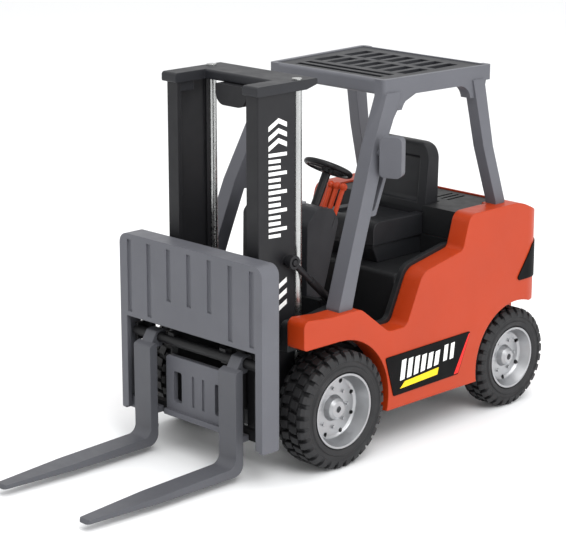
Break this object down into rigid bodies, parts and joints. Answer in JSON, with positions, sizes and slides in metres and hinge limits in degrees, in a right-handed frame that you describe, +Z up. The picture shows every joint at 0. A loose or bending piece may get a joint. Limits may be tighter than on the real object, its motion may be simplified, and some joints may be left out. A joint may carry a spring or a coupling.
{
  "type": "toy forklift truck",
  "caption": "Toy counterbalance forklift with a tilting mast, a lifting carriage with sliding forks, friction drive, cab furniture and an overhead guard.",
  "frame": {"origin": "centre of the overall box at floor level, under the middle of the truck", "axes": "+X to the truck's left, +Y from the forks to the rear, +Z up"},
  "size_m": [0.0991, 0.2549, 0.1606],
  "materials": {
    "orange_body": "satin moulding",
    "guard_grey": "satin grey moulding",
    "mast_black": "satin black moulding",
    "cab_black": "fine satin",
    "carriage_black": "fine satin",
    "dash_grey": "fine satin",
    "seat_black": "fine grain",
    "fork_grey": "satin",
    "tyre": "moulded tread",
    "rim_silver": "bright vacuum plating",
    "lever_orange": "gloss",
    "panel_black": "printed sticker",
    "lamp_red": "clear red",
    "mirror_glass": "bright",
    "steel": "drawn bar",
    "lift_steel": "bright bar",
    "gear_nylon": "natural",
    "gearbox_grey": "plain",
    "button_red": "gloss",
    "cell_steel": "plated can",
    "board_green": "coated board",
    "bulb_clear": "clear",
    "wheel_black": "fine satin"
  },
  "bodies": {
    "chassis": {"body_shell": "orange_body", "tail_lamp_surrounds": "panel_black", "tail_lamp_lenses": "lamp_red", "side_panels": "panel_black", "base_plate": "cab_black", "battery_cover": "cab_black", "button_cells": "cell_steel", "speaker": "gearbox_grey", "circuit_boards": "board_green", "lamp_bulbs": "bulb_clear", "cab_tub": "cab_black", "base_screws": "steel", "dashboard": "dash_grey", "instrument_plate": "gearbox_grey", "control_levers": "lever_orange", "steering_column": "wheel_black", "seat_pedestal": "seat_black", "seat_cushion": "seat_black", "seat_back": "seat_black", "engine_cover": "cab_black", "overhead_guard": "guard_grey", "roof_grille": "dash_grey", "mirror_head": "guard_grey", "mirror_glass": "mirror_glass", "gearbox_half_left": "gearbox_grey", "gearbox_half_right": "gearbox_grey", "mast_pivot_pin": "steel"},
    "front_wheels": {"front_tyre_left": "tyre", "front_tyre_right": "tyre", "front_rim_left": "rim_silver", "front_rim_right": "rim_silver", "front_axle": "steel"},
    "rear_wheels": {"rear_tyre_left": "tyre", "rear_tyre_right": "tyre", "rear_rim_left": "rim_silver", "rear_rim_right": "rim_silver", "rear_axle": "steel", "axle_gear": "gear_nylon"},
    "idler": {"idler_gear": "gear_nylon"},
    "flywheel_shaft": {"flywheel_pinion": "gear_nylon", "flywheel": "steel"},
    "steering": {"steering_wheel": "wheel_black"},
    "sound_push": {"sound_button": "button_red"},
    "switch_knob": {"power_switch": "wheel_black"},
    "mast": {"mast_rail_left": "mast_black", "mast_rail_right": "mast_black", "lift_rods": "lift_steel", "mast_foot_bar": "mast_black", "mast_crosshead": "dash_grey", "pulley_housing": "mast_black"},
    "carriage": {"carriage_frame": "carriage_black", "fork_bar": "carriage_black", "carriage_plate": "guard_grey", "load_guard": "guard_grey"},
    "left_fork": {"fork_left": "fork_grey"},
    "right_fork": {"fork_right": "fork_grey"},
    "left_barrel": {"tilt_barrel_left": "carriage_black"},
    "right_barrel": {"tilt_barrel_right": "carriage_black"},
    "left_rod": {"tilt_rod_left": "mast_black"},
    "right_rod": {"tilt_rod_right": "mast_black"}
  },
  "joints": [
    {"name": "front_wheels_spin", "type": "hinge", "parent": "chassis", "child": "front_wheels", "pos_m": [0, -0.00755, 0.025], "axis": [1, 0, 0], "continuous": true},
    {"name": "rear_wheels_spin", "type": "hinge", "parent": "chassis", "child": "rear_wheels", "pos_m": [0, 0.10495, 0.0225], "axis": [1, 0, 0], "continuous": true},
    {"name": "idler_spin", "type": "hinge", "parent": "chassis", "child": "idler", "pos_m": [0, 0.09985, 0.03133], "axis": [1, 0, 0], "continuous": true},
    {"name": "flywheel_spin", "type": "hinge", "parent": "chassis", "child": "flywheel_shaft", "pos_m": [0, 0.09026, 0.03482], "axis": [1, 0, 0], "continuous": true},
    {"name": "mast_tilt", "type": "hinge", "parent": "chassis", "child": "mast", "pos_m": [0, -0.02455, 0.02], "axis": [-1, 0, 0], "range_deg": [0, 6]},
    {"name": "left_barrel_swing", "type": "hinge", "parent": "chassis", "child": "left_barrel", "pos_m": [0.0307, 0.00845, 0.061], "axis": [-1, 0, 0], "range_deg": [0, 7.3]},
    {"name": "right_barrel_swing", "type": "hinge", "parent": "chassis", "child": "right_barrel", "pos_m": [-0.0307, 0.00845, 0.061], "axis": [-1, 0, 0], "range_deg": [0, 7.3]},
    {"name": "left_rod_slide", "type": "slide", "parent": "left_barrel", "child": "left_rod", "axis": [0, -0.7328, 0.6805], "range_m": [-0.0056, 0]},
    {"name": "right_rod_slide", "type": "slide", "parent": "right_barrel", "child": "right_rod", "axis": [0, -0.7328, 0.6805], "range_m": [-0.0056, 0]},
    {"name": "carriage_lift", "type": "slide", "parent": "mast", "child": "carriage", "axis": [0, 0, 1], "range_m": [0, 0.072]},
    {"name": "left_fork_shift", "type": "slide", "parent": "carriage", "child": "left_fork", "axis": [1, 0, 0], "range_m": [0, 0.0065]},
    {"name": "right_fork_shift", "type": "slide", "parent": "carriage", "child": "right_fork", "axis": [-1, 0, 0], "range_m": [0, 0.0065]},
    {"name": "steering_wheel_turn", "type": "hinge", "parent": "chassis", "child": "steering", "pos_m": [0, 0.03245, 0.1134], "axis": [0, 0.4695, 0.8829], "continuous": true},
    {"name": "sound_button_press", "type": "slide", "parent": "chassis", "child": "sound_push", "axis": [0, 0, -1], "range_m": [0, 0.0015], "stiffness_N_per_m": 300, "springref_m": -0.001},
    {"name": "power_switch_slide", "type": "slide", "parent": "chassis", "child": "switch_knob", "axis": [0, 1, 0], "range_m": [0, 0.003]}
  ],
  "couplings": [
    {"joint": "idler_spin", "follows": "rear_wheels_spin", "ratio": -2.4},
    {"joint": "flywheel_spin", "follows": "rear_wheels_spin", "ratio": 5.76},
    {"joint": "left_barrel_swing", "follows": "mast_tilt", "ratio": 1.195},
    {"joint": "right_barrel_swing", "follows": "mast_tilt", "ratio": 1.195},
    {"joint": "left_rod_slide", "follows": "mast_tilt", "m_per_rad": -0.052},
    {"joint": "right_rod_slide", "follows": "mast_tilt", "m_per_rad": -0.052}
  ]
}
